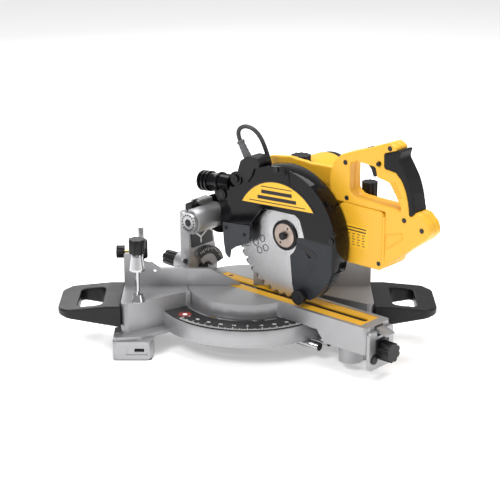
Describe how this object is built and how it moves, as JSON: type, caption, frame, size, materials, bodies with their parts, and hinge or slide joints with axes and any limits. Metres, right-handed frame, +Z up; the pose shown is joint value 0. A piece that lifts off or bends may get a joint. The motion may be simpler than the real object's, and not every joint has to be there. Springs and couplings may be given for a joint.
{
  "type": "sliding miter saw",
  "caption": "Sliding mitre saw with a turning table, tilting head on low slide rails, hinged blade guard, motor, D handle and work clamp on a wide base.",
  "frame": {"origin": "on the floor, on the turntable's pivot axis, midway between the two rear bench bolt holes", "axes": "+X to the operator's right, +Y to the back, +Z up; at rest the arm is turned 48.5 degrees to the right"},
  "size_m": [0.628, 0.3579, 0.3829],
  "materials": {
    "cast_aluminium": "satin",
    "black_plastic": "matte",
    "gloss_black": "gloss",
    "yellow_plastic": "semi-gloss",
    "yellow_insert": "satin",
    "smoke_plastic": "semi-gloss",
    "grey_plate": "satin",
    "steel": "brushed",
    "blade_steel": "brushed",
    "flange_steel": "turned",
    "dark_steel": "blackened",
    "chrome": "polished",
    "scale_black": "satin",
    "brass": "satin",
    "bronze": "satin",
    "rubber": "matte",
    "lead_rubber": "matte",
    "boot_rubber": "matte",
    "copper": "satin"
  },
  "bodies": {
    "base": {"base_casting": "cast_aluminium", "left_fence": "cast_aluminium", "right_fence": "cast_aluminium", "fence_screws": "dark_steel", "left_hand_grip": "black_plastic", "right_hand_grip": "black_plastic", "foot_pads": "rubber", "miter_scale": "scale_black", "pivot_bolt": "steel"},
    "table": {"turntable": "cast_aluminium", "kerf_plate": "yellow_insert", "kerf_screws": "dark_steel", "nose_plate": "cast_aluminium", "rail_bushings": "bronze", "lever_pin": "steel"},
    "miter_lock": {"miter_lock_knob": "black_plastic"},
    "detent": {"detent_lever": "cast_aluminium"},
    "carriage": {"slide_rails": "chrome", "rear_carriage": "cast_aluminium"},
    "bevel_clamp": {"bevel_knob": "black_plastic"},
    "tilt_arm": {"bevel_arm": "cast_aluminium", "bevel_scale": "scale_black", "chop_shaft": "steel"},
    "lock_pin": {"lock_down_pin": "black_plastic"},
    "head": {"gear_case": "gloss_black", "upper_guard": "gloss_black", "rear_shield": "grey_plate", "housing_screws": "dark_steel", "dust_spout": "gloss_black", "motor_housing": "yellow_plastic", "motor_cover": "black_plastic", "brush_caps": "black_plastic", "handle_shell_left": "yellow_plastic", "handle_shell_right": "yellow_plastic", "grip_overmould": "rubber", "trigger_switch": "black_plastic", "stator": "steel", "arbor_bearings": "steel", "guard_bracket": "black_plastic", "lead_boot": "boot_rubber", "power_lead": "lead_rubber"},
    "guard_carrier": {"guard_hub": "black_plastic"},
    "blade_cover": {"lower_guard": "smoke_plastic"},
    "roller": {"guard_roller": "black_plastic"},
    "spindle": {"arbor_shaft": "steel", "spindle_gear": "steel", "inner_flange": "flange_steel", "outer_flange": "flange_steel", "arbor_bolt": "dark_steel", "saw_blade": "blade_steel"},
    "rotor": {"armature": "copper", "motor_fan": "black_plastic"},
    "trigger": {"trigger": "black_plastic"},
    "lock_off": {"lock_off_button": "black_plastic"},
    "spindle_lock": {"spindle_lock_button": "black_plastic"},
    "clamp_swivel": {"clamp_post": "chrome"},
    "clamp_arm": {"clamp_arm": "black_plastic"},
    "clamp_knob": {"clamp_thumb_screw": "brass"},
    "clamp_foot": {"clamp_pad": "chrome"},
    "clamp_screw": {"clamp_spindle": "chrome"}
  },
  "joints": [
    {"name": "miter_turn", "type": "hinge", "parent": "base", "child": "table", "pos_m": [0, 0, 0.0763], "axis": [0, 0, 1], "range_deg": [-97, 0.5]},
    {"name": "miter_lock_turn", "type": "hinge", "parent": "table", "child": "miter_lock", "pos_m": [0.22469, -0.19879, 0.048], "axis": [0.749, -0.6626, 0], "range_deg": [0, 180]},
    {"name": "detent_press", "type": "hinge", "parent": "table", "child": "detent", "pos_m": [0.20072, -0.17758, 0.0823], "axis": [0.6626, 0.749, 0], "range_deg": [0, 7], "stiffness_Nm_per_rad": 0.8, "springref_deg": -8.59},
    {"name": "head_slide", "type": "slide", "parent": "table", "child": "carriage", "axis": [0.749, -0.6626, 0], "range_m": [-0.08, 0]},
    {"name": "bevel_clamp_turn", "type": "hinge", "parent": "carriage", "child": "bevel_clamp", "pos_m": [-0.13182, 0.11662, 0.096], "axis": [0.749, -0.6626, 0], "range_deg": [0, 180]},
    {"name": "bevel_tilt", "type": "hinge", "parent": "carriage", "child": "tilt_arm", "pos_m": [-0.08538, 0.07554, 0.096], "axis": [0.749, -0.6626, 0], "range_deg": [0, 45]},
    {"name": "lock_pin_push", "type": "slide", "parent": "tilt_arm", "child": "lock_pin", "axis": [0.6626, 0.749, 0], "range_m": [0, 0.012]},
    {"name": "head_chop", "type": "hinge", "parent": "tilt_arm", "child": "head", "pos_m": [-0.05842, 0.05168, 0.198], "axis": [0.6626, 0.749, 0], "range_deg": [-40, 0]},
    {"name": "guard_carrier_turn", "type": "hinge", "parent": "head", "child": "guard_carrier", "pos_m": [0.06999, -0.04857, 0.1968], "axis": [0.6626, 0.749, 0], "range_deg": [0, 60]},
    {"name": "lower_guard_turn", "type": "hinge", "parent": "guard_carrier", "child": "blade_cover", "pos_m": [0.06336, -0.05606, 0.1968], "axis": [0.6626, 0.749, 0], "range_deg": [-27.2, 0]},
    {"name": "guard_roller_spin", "type": "hinge", "parent": "blade_cover", "child": "roller", "pos_m": [0.08428, -0.10394, 0.1055], "axis": [0.6626, 0.749, 0], "continuous": true},
    {"name": "blade_spin", "type": "hinge", "parent": "head", "child": "spindle", "pos_m": [0.06336, -0.05606, 0.1968], "axis": [0.6626, 0.749, 0], "continuous": true},
    {"name": "motor_spin", "type": "hinge", "parent": "head", "child": "rotor", "pos_m": [0.09415, 0.02352, 0.24429], "axis": [0.6626, 0.749, 0], "continuous": true},
    {"name": "trigger_pull", "type": "hinge", "parent": "head", "child": "trigger", "pos_m": [0.1977, -0.12818, 0.347], "axis": [0.6626, 0.749, 0], "range_deg": [-8, 0], "stiffness_Nm_per_rad": 1, "springref_deg": 11.46},
    {"name": "lock_off_press", "type": "slide", "parent": "head", "child": "lock_off", "axis": [0.6626, 0.749, 0], "range_m": [0, 0.003], "stiffness_N_per_m": 500, "springref_m": -0.002},
    {"name": "spindle_lock_press", "type": "slide", "parent": "head", "child": "spindle_lock", "axis": [0, 0, -1], "range_m": [0, 0.004], "stiffness_N_per_m": 500, "springref_m": -0.002},
    {"name": "clamp_turn", "type": "hinge", "parent": "base", "child": "clamp_swivel", "pos_m": [-0.181, 0.02, 0.12], "axis": [0, 0, -1], "range_deg": [-8, 25]},
    {"name": "clamp_height", "type": "slide", "parent": "clamp_swivel", "child": "clamp_arm", "axis": [0, 0, 1], "range_m": [0, 0.022]},
    {"name": "thumb_screw_turn", "type": "hinge", "parent": "clamp_arm", "child": "clamp_knob", "pos_m": [-0.2, 0.02, 0.142], "axis": [1, 0, 0], "range_deg": [0, 180]},
    {"name": "clamp_feed", "type": "slide", "parent": "clamp_arm", "child": "clamp_foot", "axis": [0, 0, 1], "range_m": [0, 0.032]},
    {"name": "clamp_screw_turn", "type": "hinge", "parent": "clamp_foot", "child": "clamp_screw", "pos_m": [-0.181, -0.081, 0.15], "axis": [0, 0, 1], "range_deg": [0, 1441]}
  ],
  "couplings": [
    {"joint": "guard_carrier_turn", "follows": "head_chop", "ratio": -1.5},
    {"joint": "lower_guard_turn", "follows": "bevel_tilt", "ratio": -0.6},
    {"joint": "motor_spin", "follows": "blade_spin", "ratio": -6},
    {"joint": "clamp_screw_turn", "follows": "clamp_feed", "rad_per_m": 785.4}
  ]
}
